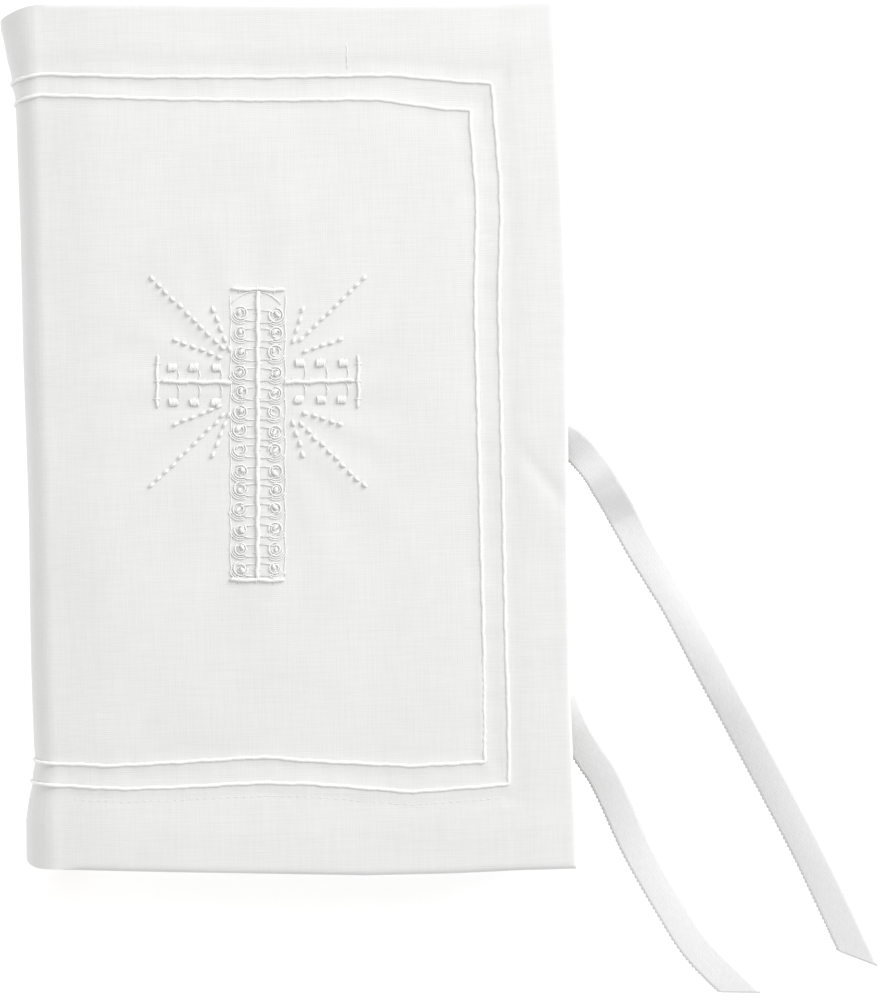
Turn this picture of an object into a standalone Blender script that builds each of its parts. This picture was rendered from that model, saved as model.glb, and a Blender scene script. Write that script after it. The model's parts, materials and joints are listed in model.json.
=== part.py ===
"""Prayer book in a white slip cover with two ribbon ties, closed and lying on its back cover.

Metres. +X points to the fore-edge, +Y to the head of the book, +Z up. The origin is under the middle of the book.
Each body of the assembly hangs from an empty that stands on its joint's axis.
"""

import math

import bmesh
import bpy
from mathutils import Vector

MM = 0.001

# Driving sizes of the closed book.
WIDTH = 108.7 * MM
HEIGHT = 168.0 * MM
THICKNESS = 18.0 * MM
GAP = 0.3 * MM
CLOTH = 1.0 * MM
BOARD = 1.8 * MM
PASTEDOWN = 0.2 * MM
POCKET = 0.5 * MM
LEAF = 0.2 * MM

FORE_X = WIDTH / 2
HEAD_Y = HEIGHT / 2
MIDDLE_Z = THICKNESS / 2

# The two cover joints lie on the line where the rounded spine begins.
JOINT_X = -47.5 * MM
JOINT_CLEARANCE = 0.15 * MM
BACK_JOINT_Z = -0.3 * MM
FRONT_JOINT_Z = THICKNESS + 0.8 * MM

# Pages: their edges stand back from the cover's.
LEAF_SPINE_X = JOINT_X + GAP
LEAF_FORE_X = 48.8 * MM
LEAF_HEAD_Y = 78.5 * MM
REAR_SECTIONS = 3
FRONT_SECTIONS = 2
LOOSE_LEAVES = 2

# Slip cover: the turned-in pocket reaches this far from the fore-edge.
POCKET_WIDTH = 60.0 * MM
RIM_HEIGHT = 3.6 * MM
CLOTH_ROUNDING = 0.3 * MM

# Each piece inside the cover stands back from its outline: at the spine, the fore-edge, the head and the tail.
BOARD_SPINE_INSET = 1.0 * MM
BOARD_FORE_INSET = 2.9 * MM
BOARD_ROUNDING = 0.25 * MM
PASTEDOWN_SPINE_INSET = 1.5 * MM
PASTEDOWN_FORE_INSET = 4.1 * MM
PASTEDOWN_END_INSET = 2.5 * MM
POCKET_FORE_INSET = 2.6 * MM
POCKET_END_INSET = 1.2 * MM
POCKET_ROUNDING = 0.15 * MM

# Rounded spine: half an ellipse whose ends meet the covers.
SPINE_CENTRE_X = JOINT_X - JOINT_CLEARANCE
SPINE_DEPTH = 6.0 * MM
SPINE_STRIP = 0.8 * MM
SPINE_STEPS = 28
STRIP_END_INSET = 2.0 * MM

# Gauze over the sewn backs of the sections, and the two bands at its ends.
MULL_THICKNESS = 0.2 * MM
MULL_HALF_LENGTH = 70.0 * MM
MULL_LOW_Z = 5.4 * MM
BAND_Y = 77.5 * MM
BAND_SETBACK = 1.2 * MM
BAND_RADIUS = 0.7 * MM
BAND_LOW_Z = 5.6 * MM

# Corded border: two raised lines around the cover.
CORD_RADIUS = 0.45 * MM
CORD_RISE = 0.25 * MM
BACK_CORD_RADIUS = 0.2 * MM
BACK_CORD_Z = 0.22 * MM
OUTER_BORDER = {"head": 70.4 * MM, "fore": 41.2 * MM, "tail": -68.4 * MM}
INNER_BORDER = {"head": 66.2 * MM, "fore": 36.2 * MM, "tail": -64.0 * MM}
BORDER_CORNER = 2.5 * MM
CORNER_STEPS = 6
SPINE_CORD_FROM = math.radians(5)
SPINE_CORD_TO = math.radians(154)
SPINE_CORD_STEPS = 24
GROOVE_OVERRUN = math.radians(3)

# Embroidered cross, from the middle of its arms.
CROSS_X = -6.7 * MM
CROSS_Y = 10.8 * MM
UPRIGHT_HALF_WIDTH = 5.4 * MM
UPRIGHT_UP = 18.2 * MM
UPRIGHT_DOWN = 38.8 * MM
ARM_REACH = 19.7 * MM
ARM_HALF_HEIGHT = 5.3 * MM
THREAD_BASE = 0.2 * MM
THREAD = 0.4 * MM
STEM_HALF_WIDTH = 0.5 * MM
BLOCK_REACHES = (8.2 * MM, 12.5 * MM, 16.8 * MM)
BLOCK_OFFSET = 3.4 * MM
BLOCK_SIZE = 1.8 * MM
SCROLL_OFFSET = 3.5 * MM
SCROLL_PITCH = 3.8 * MM
SCROLL_RADIUS = 1.3 * MM
SCROLL_SIDES = 8

# Stitched rays of one quadrant, from the middle of the cross: start and end. The others mirror them.
RAYS = (
    ((8.5 * MM, 8.2 * MM), (21.7 * MM, 21.2 * MM)),
    ((7.1 * MM, 7.7 * MM), (9.3 * MM, 15.5 * MM)),
    ((9.2 * MM, 6.2 * MM), (17.3 * MM, 8.7 * MM)),
)
RAY_RADIUS = 0.2 * MM

# Ribbon ties: flat strips, sewn in at mid height of each cover's fore-edge.
RIBBON_WIDTH = 6.0 * MM
RIBBON_THICKNESS = 0.35 * MM
RIBBON_SPACING = 2.5 * MM
CURVE_STEPS = 16
# Each point is x, y, z in millimetres, then the strip's tilt in degrees.
FRONT_RIBBON_ROUTE = (
    (50.2, 1.2, 12.9, 0),
    (52.4, 0.0, 12.85, 0),
    (54.7, -1.4, 12.5, 0),
    (57.4, -4.0, 11.0, 0),
    (60.1, -7.3, 8.3, 0),
    (62.4, -11.0, 5.3, 0),
    (64.6, -14.8, 2.8, 0),
    (66.8, -18.8, 1.1, 0),
    (69.2, -23.3, 0.45, 0),
    (72.6, -29.1, 0.35, 0),
    (76.1, -35.1, 0.35, 0),
    (82.2, -47.3, 0.35, 0),
    (88.4, -59.6, 0.35, 0),
    (94.6, -71.8, 0.35, 0),
    (100.7, -84.1, 0.35, 0),
    (105.8, -95.4, 0.35, 0),
    (110.7, -106.6, 0.35, 0),
)
BACK_RIBBON_ROUTE = (
    (51.9, 1.0, 8.1, 90),
    (51.8, -12.5, 8.1, 90),
    (51.7, -26.5, 8.1, 90),
    (51.6, -36.5, 8.0, 82),
    (51.6, -44.5, 7.6, 50),
    (52.4, -51.6, 6.9, 16),
    (54.2, -58.0, 6.1, 0),
    (57.0, -63.3, 5.2, 0),
    (60.0, -68.1, 3.5, 0),
    (62.5, -73.4, 1.9, 0),
    (64.9, -79.2, 0.8, 0),
    (67.6, -85.1, 0.4, 0),
    (73.1, -95.2, 0.35, 0),
    (78.4, -103.8, 0.35, 0),
    (86.8, -112.8, 0.35, 0),
)

# Each body's joint axis, as its x and z. The root stands on the origin.
BODY_AXES = {
    "back_cover": (0.0, 0.0),
    "rear_flyleaf": (JOINT_X, BACK_JOINT_Z),
    "text_block": (JOINT_X, BACK_JOINT_Z),
    "spine": (JOINT_X, BACK_JOINT_Z),
    "front_cover": (JOINT_X, FRONT_JOINT_Z),
    "leaf_2": (JOINT_X, MIDDLE_Z),
    "leaf_1": (JOINT_X, MIDDLE_Z),
    "front_section_2": (JOINT_X, MIDDLE_Z),
    "front_section_1": (JOINT_X, MIDDLE_Z),
    "front_flyleaf": (JOINT_X, MIDDLE_Z),
    "front_ribbon": (52.0 * MM, 12.9 * MM),
}

# Colour, roughness and metallic value of each material.
MATERIALS = {
    "cover_cloth": ((0.84, 0.84, 0.83), 0.9, 0.0),
    "pocket_cloth": ((0.82, 0.82, 0.81), 0.9, 0.0),
    "thread": ((0.88, 0.88, 0.87), 0.6, 0.0),
    "satin": ((0.86, 0.86, 0.85), 0.35, 0.0),
    "board": ((0.42, 0.38, 0.32), 0.85, 0.0),
    "endpaper": ((0.86, 0.83, 0.76), 0.85, 0.0),
    "pages": ((0.88, 0.86, 0.79), 0.9, 0.0),
    "spine_card": ((0.6, 0.52, 0.4), 0.85, 0.0),
    "mull": ((0.85, 0.82, 0.72), 0.95, 0.0),
}


def clear_scene():
    for obj in list(bpy.data.objects):
        bpy.data.objects.remove(obj, do_unlink=True)


def new_collection(name):
    collection = bpy.data.collections.new(name)
    bpy.context.scene.collection.children.link(collection)
    return collection


def new_material(name):
    colour, roughness, metallic = MATERIALS[name]
    material = bpy.data.materials.new(name)
    material.use_nodes = True
    shader = material.node_tree.nodes["Principled BSDF"]
    shader.inputs["Base Color"].default_value = (*colour, 1.0)
    shader.inputs["Roughness"].default_value = roughness
    shader.inputs["Metallic"].default_value = metallic
    material.diffuse_color = (*colour, 1.0)
    return material


clear_scene()
PARTS = new_collection("prayer_book")
CUTTERS = new_collection("cutters")
SLOTS = {name: new_material(name) for name in MATERIALS}


def new_body(name):
    empty = bpy.data.objects.new("body_" + name, None)
    x, z = BODY_AXES[name]
    empty.location = (x, 0.0, z)
    empty.empty_display_size = 0.01
    PARTS.objects.link(empty)
    return empty


BODIES = {name: new_body(name) for name in BODY_AXES}
bpy.context.view_layer.update()


def only_in(obj, collection):
    for other in list(obj.users_collection):
        other.objects.unlink(obj)
    collection.objects.link(obj)


def finish_part(obj, name, body, material):
    """Name the piece, give it its material, and hang it from its body's empty where it already stands."""
    obj.name = name
    obj.data.name = name
    obj.data.materials.clear()
    obj.data.materials.append(SLOTS[material])
    only_in(obj, PARTS)
    obj.parent = BODIES[body]
    obj.matrix_parent_inverse = BODIES[body].matrix_world.inverted()
    return obj


def finish_cutter(obj, name):
    obj.name = name
    only_in(obj, CUTTERS)
    obj.hide_render = True
    obj.display_type = "WIRE"
    return obj


def block(low, high):
    """A box between two corners."""
    low = Vector(low)
    high = Vector(high)
    bpy.ops.mesh.primitive_cube_add(size=1.0, location=(low + high) / 2)
    obj = bpy.context.active_object
    obj.scale = high - low
    bpy.ops.object.transform_apply(location=False, rotation=False, scale=True)
    return obj


def round_edges(obj, width, segments=2):
    bevel = obj.modifiers.new("rounded_edges", "BEVEL")
    bevel.width = width
    bevel.segments = segments
    bevel.limit_method = "ANGLE"
    bevel.angle_limit = math.radians(40)


def combine(obj, other, operation, uses_self=False):
    boolean = obj.modifiers.new(operation.lower(), "BOOLEAN")
    boolean.operation = operation
    boolean.solver = "EXACT"
    boolean.use_self = uses_self
    boolean.object = other


def new_curve(points, name="curve"):
    """A 3D curve object with one POLY spline through the points."""
    data = bpy.data.curves.new(name, "CURVE")
    data.dimensions = "3D"
    data.twist_mode = "Z_UP"
    spline = data.splines.new("POLY")
    spline.points.add(len(points) - 1)
    for slot, point in zip(spline.points, points):
        slot.co = (*point, 1.0)
    obj = bpy.data.objects.new(name, data)
    bpy.context.scene.collection.objects.link(obj)
    return obj


def tube(points, radius, resolution=2):
    obj = new_curve(points)
    obj.data.bevel_depth = radius
    obj.data.bevel_resolution = resolution
    obj.data.use_fill_caps = True
    return obj


def plate_outline(points, thickness):
    """A flat outline in its own XY plane, filled and extruded to the thickness."""
    data = bpy.data.curves.new("outline", "CURVE")
    data.dimensions = "2D"
    data.fill_mode = "BOTH"
    data.extrude = thickness / 2
    spline = data.splines.new("POLY")
    spline.points.add(len(points) - 1)
    for slot, (x, y) in zip(spline.points, points):
        slot.co = (x, y, 0.0, 1.0)
    spline.use_cyclic_u = True
    obj = bpy.data.objects.new("outline", data)
    bpy.context.scene.collection.objects.link(obj)
    return obj


def as_mesh(curve):
    """The curve as a mesh object with its caps welded, so that a Boolean can use it."""
    bpy.context.view_layer.update()
    graph = bpy.context.evaluated_depsgraph_get()
    mesh = bpy.data.meshes.new_from_object(curve.evaluated_get(graph))
    shell = bmesh.new()
    shell.from_mesh(mesh)
    bmesh.ops.remove_doubles(shell, verts=shell.verts, dist=1e-6)
    bmesh.ops.recalc_face_normals(shell, faces=shell.faces)
    if shell.calc_volume(signed=True) < 0:
        bmesh.ops.reverse_faces(shell, faces=shell.faces)
    shell.to_mesh(mesh)
    shell.free()
    obj = bpy.data.objects.new(curve.name, mesh)
    bpy.context.scene.collection.objects.link(obj)
    obj.matrix_world = curve.matrix_world
    bpy.data.objects.remove(curve, do_unlink=True)
    return obj


def z_span(low, high, side):
    """A pair of heights measured from the back cover's outer face, or mirrored for the front cover."""
    if side == "back":
        return low, high
    return THICKNESS - high, THICKNESS - low


def border_points(border, from_x, z):
    """A three-sided line along the head, fore-edge and tail, open towards the spine, with rounded corners."""
    points = [(from_x, border["head"], z)]
    corners = ((border["head"], 1), (border["tail"], -1))
    for y, sign in corners:
        centre = (border["fore"] - BORDER_CORNER, y - sign * BORDER_CORNER)
        for step in range(CORNER_STEPS + 1):
            turn = math.pi / 2 * step / CORNER_STEPS
            angle = math.pi / 2 - turn if sign > 0 else -turn
            across = centre[0] + BORDER_CORNER * math.cos(angle)
            along = centre[1] + BORDER_CORNER * math.sin(angle)
            points.append((across, along, z))
    points.append((from_x, border["tail"], z))
    return points


def spine_points(y, offset, start, end, steps):
    """A line around the rounded spine. The angle runs from the front cover to the back cover."""
    points = []
    for step in range(steps + 1):
        angle = start + (end - start) * step / steps
        x = SPINE_CENTRE_X - (SPINE_DEPTH + offset) * math.sin(angle)
        z = MIDDLE_Z + (MIDDLE_Z + offset) * math.cos(angle)
        points.append((x, y, z))
    return points


def cover_cloth(side):
    """A cloth tray over the board: one face, and a rim at the head, fore-edge and tail."""
    z_low, z_high = z_span(0.0, RIM_HEIGHT, side)
    obj = block((JOINT_X + JOINT_CLEARANCE, -HEAD_Y, z_low), (FORE_X, HEAD_Y, z_high))
    shell = bmesh.new()
    shell.from_mesh(obj.data)
    inner = Vector((0.0, 0.0, 1.0 if side == "back" else -1.0))
    spine_side = Vector((-1.0, 0.0, 0.0))
    open_faces = [f for f in shell.faces if f.normal.dot(inner) > 0.9 or f.normal.dot(spine_side) > 0.9]
    bmesh.ops.delete(shell, geom=open_faces, context="FACES")
    shell.to_mesh(obj.data)
    shell.free()
    solid = obj.modifiers.new("cloth_thickness", "SOLIDIFY")
    solid.thickness = CLOTH
    solid.offset = -1.0
    solid.use_even_offset = True
    round_edges(obj, CLOTH_ROUNDING)
    return finish_part(obj, side + "_cover_cloth", side + "_cover", "cover_cloth")


def cover_cord(side, label, border, cloth):
    """One raised cord of the border, lying in a groove of the cloth."""
    if side == "front":
        radius = CORD_RADIUS
        z = THICKNESS + CORD_RISE
    else:
        radius = BACK_CORD_RADIUS
        z = BACK_CORD_Z
    start_x = JOINT_X + 2 * JOINT_CLEARANCE
    cord = tube(border_points(border, start_x, z), radius)
    finish_part(cord, f"{side}_{label}_cord", side + "_cover", "thread")
    groove = as_mesh(tube(border_points(border, JOINT_X - CLOTH, z), radius + GAP))
    finish_cutter(groove, f"{side}_{label}_groove")
    combine(cloth, groove, "DIFFERENCE")


def cover(side):
    """The board in its cloth tray, with the pastedown on it and the pocket that holds it."""
    cloth = cover_cloth(side)
    cover_cord(side, "outer", OUTER_BORDER, cloth)
    cover_cord(side, "inner", INNER_BORDER, cloth)
    body = side + "_cover"
    low = CLOTH + GAP
    board_y = HEAD_Y - CLOTH - GAP
    bottom, top = z_span(low, low + BOARD, side)
    board = block(
        (JOINT_X + BOARD_SPINE_INSET, -board_y, bottom),
        (FORE_X - BOARD_FORE_INSET, board_y, top),
    )
    round_edges(board, BOARD_ROUNDING)
    finish_part(board, side + "_board", body, "board")
    low += BOARD + GAP
    bottom, top = z_span(low, low + PASTEDOWN, side)
    lining_y = HEAD_Y - PASTEDOWN_END_INSET
    lining = block(
        (JOINT_X + PASTEDOWN_SPINE_INSET, -lining_y, bottom),
        (FORE_X - PASTEDOWN_FORE_INSET, lining_y, top),
    )
    finish_part(lining, side + "_pastedown", body, "endpaper")
    low = RIM_HEIGHT + GAP
    bottom, top = z_span(low, low + POCKET, side)
    pocket_y = HEAD_Y - POCKET_END_INSET
    pocket = block(
        (FORE_X - POCKET_WIDTH, -pocket_y, bottom),
        (FORE_X - POCKET_FORE_INSET, pocket_y, top),
    )
    round_edges(pocket, POCKET_ROUNDING)
    finish_part(pocket, side + "_pocket", body, "pocket_cloth")
    return low + POCKET


def leaves(name, body, z_low, thickness, material):
    obj = block(
        (LEAF_SPINE_X, -LEAF_HEAD_Y, z_low),
        (LEAF_FORE_X, LEAF_HEAD_Y, z_low + thickness),
    )
    return finish_part(obj, name, body, material)


def text_block(cover_depth):
    """Flyleaves, sewn sections and two loose leaves, stacked from the back cover to the front cover."""
    low = cover_depth + GAP
    leaves("rear_flyleaf", "rear_flyleaf", low, LEAF, "endpaper")
    sections = REAR_SECTIONS + FRONT_SECTIONS
    room = THICKNESS - 2 * (low + LEAF + GAP)
    gaps = (sections + LOOSE_LEAVES - 1) * GAP
    section = (room - gaps - LOOSE_LEAVES * LEAF) / sections
    z = low + LEAF + GAP
    for number in range(REAR_SECTIONS, 0, -1):
        leaves(f"rear_section_{number}", "text_block", z, section, "pages")
        z += section + GAP
    for number in range(LOOSE_LEAVES, 0, -1):
        leaves(f"leaf_{number}", f"leaf_{number}", z, LEAF, "pages")
        z += LEAF + GAP
    for number in range(FRONT_SECTIONS, 0, -1):
        leaves(f"front_section_{number}", f"front_section_{number}", z, section, "pages")
        z += section + GAP
    leaves("front_flyleaf", "front_flyleaf", z, LEAF, "endpaper")


def half_ring(outer_offset, inner_offset, half_length):
    """A curved strip between two half ellipses, as long as the spine."""
    outer = spine_points(0.0, outer_offset, 0.0, math.pi, SPINE_STEPS)
    inner = spine_points(0.0, inner_offset, math.pi, 0.0, SPINE_STEPS)
    outline = [(x, z) for x, _, z in outer + inner]
    obj = plate_outline(outline, 2 * half_length)
    obj.rotation_euler = (math.pi / 2, 0.0, 0.0)
    return as_mesh(obj)


def spine_cord(name, y, cloth):
    line = spine_points(y, CORD_RISE, SPINE_CORD_FROM, SPINE_CORD_TO, SPINE_CORD_STEPS)
    finish_part(tube(line, CORD_RADIUS), name, "spine", "thread")
    start = SPINE_CORD_FROM - GROOVE_OVERRUN
    end = SPINE_CORD_TO + GROOVE_OVERRUN
    groove_line = spine_points(y, CORD_RISE, start, end, SPINE_CORD_STEPS)
    groove = as_mesh(tube(groove_line, CORD_RADIUS + GAP))
    finish_cutter(groove, name + "_groove")
    combine(cloth, groove, "DIFFERENCE", uses_self=True)


def spine():
    """Cloth, hollow strip, mull and the two bands, with the border's cords crossing over."""
    cloth = half_ring(0.0, -CLOTH, HEAD_Y)
    finish_part(cloth, "spine_cloth", "spine", "cover_cloth")
    strip_offset = -CLOTH - GAP
    strip = half_ring(strip_offset, strip_offset - SPINE_STRIP, HEAD_Y - STRIP_END_INSET)
    finish_part(strip, "spine_strip", "spine", "spine_card")
    mull = block(
        (JOINT_X - GAP - MULL_THICKNESS, -MULL_HALF_LENGTH, MULL_LOW_Z),
        (JOINT_X - GAP, MULL_HALF_LENGTH, THICKNESS - MULL_LOW_Z),
    )
    finish_part(mull, "mull", "spine", "mull")
    band_x = JOINT_X - BAND_SETBACK
    for name, y in (("headband", BAND_Y), ("tailband", -BAND_Y)):
        band = tube([(band_x, y, BAND_LOW_Z), (band_x, y, THICKNESS - BAND_LOW_Z)], BAND_RADIUS)
        finish_part(band, name, "spine", "thread")
    for label, border in (("outer", OUTER_BORDER), ("inner", INNER_BORDER)):
        for end in ("head", "tail"):
            spine_cord(f"spine_{end}_{label}_cord", border[end], cloth)


def cross_outline():
    """The cross's edge, from the middle of its arms."""
    w = UPRIGHT_HALF_WIDTH
    h = ARM_HALF_HEIGHT
    return [
        (-w, UPRIGHT_UP), (-w, h), (-ARM_REACH, h), (-ARM_REACH, -h), (-w, -h), (-w, -UPRIGHT_DOWN),
        (w, -UPRIGHT_DOWN), (w, -h), (ARM_REACH, -h), (ARM_REACH, h), (w, h), (w, UPRIGHT_UP),
    ]


def raised_threads(z):
    """Stem, arms, end bars, satin blocks and scrolls, joined into one mesh that stands on the base."""
    stem = STEM_HALF_WIDTH
    low = z - THREAD_BASE / 2
    high = z + THREAD
    pieces = [
        ((-stem, -UPRIGHT_DOWN), (stem, UPRIGHT_UP)),
        ((-ARM_REACH, -stem), (ARM_REACH, stem)),
        ((-UPRIGHT_HALF_WIDTH, UPRIGHT_UP - 2 * stem), (UPRIGHT_HALF_WIDTH, UPRIGHT_UP)),
        ((-UPRIGHT_HALF_WIDTH, -UPRIGHT_DOWN), (UPRIGHT_HALF_WIDTH, -UPRIGHT_DOWN + 2 * stem)),
        ((-ARM_REACH, -ARM_HALF_HEIGHT), (-ARM_REACH + 2 * stem, ARM_HALF_HEIGHT)),
        ((ARM_REACH - 2 * stem, -ARM_HALF_HEIGHT), (ARM_REACH, ARM_HALF_HEIGHT)),
    ]
    half = BLOCK_SIZE / 2
    for reach in BLOCK_REACHES:
        for x in (-reach, reach):
            for y in (-BLOCK_OFFSET, BLOCK_OFFSET):
                pieces.append(((x - half, y - half), (x + half, y + half)))
    shell = bmesh.new()
    for (x0, y0), (x1, y1) in pieces:
        made = bmesh.ops.create_cube(shell, size=1.0)["verts"]
        bmesh.ops.scale(shell, vec=(x1 - x0, y1 - y0, high - low), verts=made)
        centre = (CROSS_X + (x0 + x1) / 2, CROSS_Y + (y0 + y1) / 2, (low + high) / 2)
        bmesh.ops.translate(shell, vec=centre, verts=made)
    count = int((UPRIGHT_UP + UPRIGHT_DOWN) / SCROLL_PITCH) - 1
    for number in range(count):
        y = CROSS_Y - UPRIGHT_DOWN + SCROLL_PITCH * (number + 1)
        for x in (CROSS_X - SCROLL_OFFSET, CROSS_X + SCROLL_OFFSET):
            made = bmesh.ops.create_cone(
                shell,
                cap_ends=True,
                segments=SCROLL_SIDES,
                radius1=SCROLL_RADIUS,
                radius2=SCROLL_RADIUS,
                depth=high - low,
            )["verts"]
            bmesh.ops.translate(shell, vec=(x, y, (low + high) / 2), verts=made)
    mesh = bpy.data.meshes.new("raised_threads")
    shell.to_mesh(mesh)
    shell.free()
    obj = bpy.data.objects.new("raised_threads", mesh)
    bpy.context.scene.collection.objects.link(obj)
    return obj


def cross():
    base = plate_outline(cross_outline(), THREAD_BASE)
    z = THICKNESS + GAP / 2 + THREAD_BASE / 2
    base.location = (CROSS_X, CROSS_Y, z)
    solid = as_mesh(base)
    combine(solid, finish_cutter(raised_threads(z), "raised_threads"), "UNION", uses_self=True)
    finish_part(solid, "cross_embroidery", "front_cover", "thread")
    ray_z = THICKNESS + GAP / 2 + RAY_RADIUS
    number = 0
    for start, end in RAYS:
        for across in (-1, 1):
            for along in (-1, 1):
                number += 1
                line = [(CROSS_X + across * x, CROSS_Y + along * y, ray_z) for x, y in (start, end)]
                finish_part(tube(line, RAY_RADIUS, 1), f"ray_stitch_{number:02d}", "front_cover", "thread")


def smooth_route(route, spacing):
    """Points at an even spacing on a Catmull-Rom curve through the route, each x, y, z and tilt."""
    knots = [Vector((x * MM, y * MM, z * MM, math.radians(tilt))) for x, y, z, tilt in route]
    knots = [2 * knots[0] - knots[1], *knots, 2 * knots[-1] - knots[-2]]
    fine = []
    for a, b, c, d in zip(knots, knots[1:], knots[2:], knots[3:]):
        for step in range(CURVE_STEPS):
            t = step / CURVE_STEPS
            bend = 2 * b + (c - a) * t + (2 * a - 5 * b + 4 * c - d) * t**2 + (3 * b - 3 * c + d - a) * t**3
            fine.append(bend / 2)
    fine.append(knots[-2])
    even = [fine[0]]
    walked = 0.0
    for before, after in zip(fine, fine[1:]):
        walked += (after.xyz - before.xyz).length
        if walked >= spacing:
            even.append(after)
            walked = 0.0
    even[-1] = fine[-1]
    return even


def ribbon(name, body, route):
    """A flat strip: a rectangle swept along the smoothed route."""
    points = smooth_route(route, RIBBON_SPACING)
    strip = new_curve([p.xyz for p in points])
    for slot, point in zip(strip.data.splines[0].points, points):
        slot.tilt = point.w
    w = RIBBON_WIDTH / 2
    t = RIBBON_THICKNESS / 2
    section = plate_outline([(-w, -t), (w, -t), (w, t), (-w, t)], 0.0)
    section.data.fill_mode = "NONE"
    finish_cutter(section, name + "_section")
    strip.data.bevel_mode = "OBJECT"
    strip.data.bevel_object = section
    strip.data.use_fill_caps = True
    length = sum((b.xyz - a.xyz).length for a, b in zip(points, points[1:]))
    print(f"{name}: {length:.4f} m long in {len(points)} points")
    finish_part(as_mesh(strip), name, body, "satin")


def main():
    cover_depth = cover("back")
    cover("front")
    text_block(cover_depth)
    spine()
    cross()
    ribbon("front_ribbon", "front_ribbon", FRONT_RIBBON_ROUTE)
    ribbon("back_ribbon", "back_cover", BACK_RIBBON_ROUTE)


main()
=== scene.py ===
"""The prayer book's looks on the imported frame: slip cover, corded border, embroidery, ribbons and pages."""
import json
import math
import random

import bmesh
import bpy
import numpy as np
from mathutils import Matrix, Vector


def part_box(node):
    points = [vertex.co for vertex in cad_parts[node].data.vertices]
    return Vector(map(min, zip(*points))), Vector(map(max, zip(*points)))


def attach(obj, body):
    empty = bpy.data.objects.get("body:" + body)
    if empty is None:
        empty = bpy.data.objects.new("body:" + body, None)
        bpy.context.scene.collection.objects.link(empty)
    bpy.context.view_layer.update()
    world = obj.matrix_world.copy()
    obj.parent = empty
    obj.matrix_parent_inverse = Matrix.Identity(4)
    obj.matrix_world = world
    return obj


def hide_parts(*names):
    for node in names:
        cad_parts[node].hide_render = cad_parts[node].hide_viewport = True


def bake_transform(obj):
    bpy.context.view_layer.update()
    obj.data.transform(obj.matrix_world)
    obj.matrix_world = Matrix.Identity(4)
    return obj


MM = 0.001
random.seed(7)

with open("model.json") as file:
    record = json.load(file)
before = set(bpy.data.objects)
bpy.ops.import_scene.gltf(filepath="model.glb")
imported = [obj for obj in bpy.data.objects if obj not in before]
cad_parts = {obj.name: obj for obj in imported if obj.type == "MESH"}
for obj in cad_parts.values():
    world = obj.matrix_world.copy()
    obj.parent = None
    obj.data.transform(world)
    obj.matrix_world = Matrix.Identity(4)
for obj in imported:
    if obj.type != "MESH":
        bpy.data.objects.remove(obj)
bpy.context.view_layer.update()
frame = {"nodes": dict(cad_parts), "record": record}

FRONT_HIGH = Vector(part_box("front_cover_cloth")[1])
SPINE_LOW, SPINE_HIGH = (Vector(corner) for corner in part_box("spine_cloth"))
TOP_Z = FRONT_HIGH.z
HEAD_Y = FRONT_HIGH.y
FORE_X = FRONT_HIGH.x
SPINE_X = SPINE_HIGH.x
SPINE_DEPTH = SPINE_HIGH.x - SPINE_LOW.x
CROSS_LOW, CROSS_HIGH = (Vector(corner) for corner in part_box("cross_embroidery"))
CROSS_X = (CROSS_LOW.x + CROSS_HIGH.x) / 2 / MM


# ---------------------------------------------------------------- camera and light

CAMERA_PLACE = (29.4 * MM, -12.4 * MM, 700 * MM)
CAMERA_ROLL = math.radians(-1.4)
CAMERA_LENS = 83.5
SENSOR_HEIGHT = 24
WORLD_STRENGTH = 0.64
FLOOR_SIZE = 4.0
FLOOR_DROP = 0.05 * MM
FLOOR_GLOW = 0.4


def make_camera():
    data = bpy.data.cameras.new("camera")
    data.sensor_fit = "VERTICAL"
    data.sensor_height = SENSOR_HEIGHT
    data.lens = CAMERA_LENS
    data.clip_start = 0.01
    camera = bpy.data.objects.new("camera", data)
    camera.location = CAMERA_PLACE
    camera.rotation_euler = (0, 0, CAMERA_ROLL)
    bpy.context.scene.collection.objects.link(camera)
    bpy.context.scene.camera = camera


def make_light(name, place, size, power):
    """A square area light that faces the book."""
    data = bpy.data.lights.new(name, "AREA")
    data.size = size
    data.energy = power
    light = bpy.data.objects.new(name, data)
    light.location = place
    light.rotation_euler = (-Vector(place)).to_track_quat("-Z", "Y").to_euler()
    bpy.context.scene.collection.objects.link(light)


def make_world():
    # White cloth on a white ground: the default transform would grey it.
    bpy.context.scene.view_settings.view_transform = "Standard"
    world = bpy.data.worlds.new("studio")
    world.use_nodes = True
    back = world.node_tree.nodes["Background"]
    back.inputs["Color"].default_value = (1.0, 1.0, 1.0, 1.0)
    back.inputs["Strength"].default_value = WORLD_STRENGTH
    bpy.context.scene.world = world


def make_floor(material):
    bpy.ops.mesh.primitive_grid_add(
        size=FLOOR_SIZE, x_subdivisions=8, y_subdivisions=8, location=(0, 0, -FLOOR_DROP)
    )
    floor = bpy.context.active_object
    floor.name = "floor"
    floor.data.materials.append(material)


# ---------------------------------------------------------------- materials

# A wave texture's scale for one metre between bands.
WAVE_SCALE = 3.18
WEFT_PITCH = 0.34 * MM
WARP_PITCH = 0.36 * MM
FLOAT_PITCH = 0.3 * MM
LEAF_PITCH = 0.09 * MM
NET_PITCH = 1.1 * MM


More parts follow.
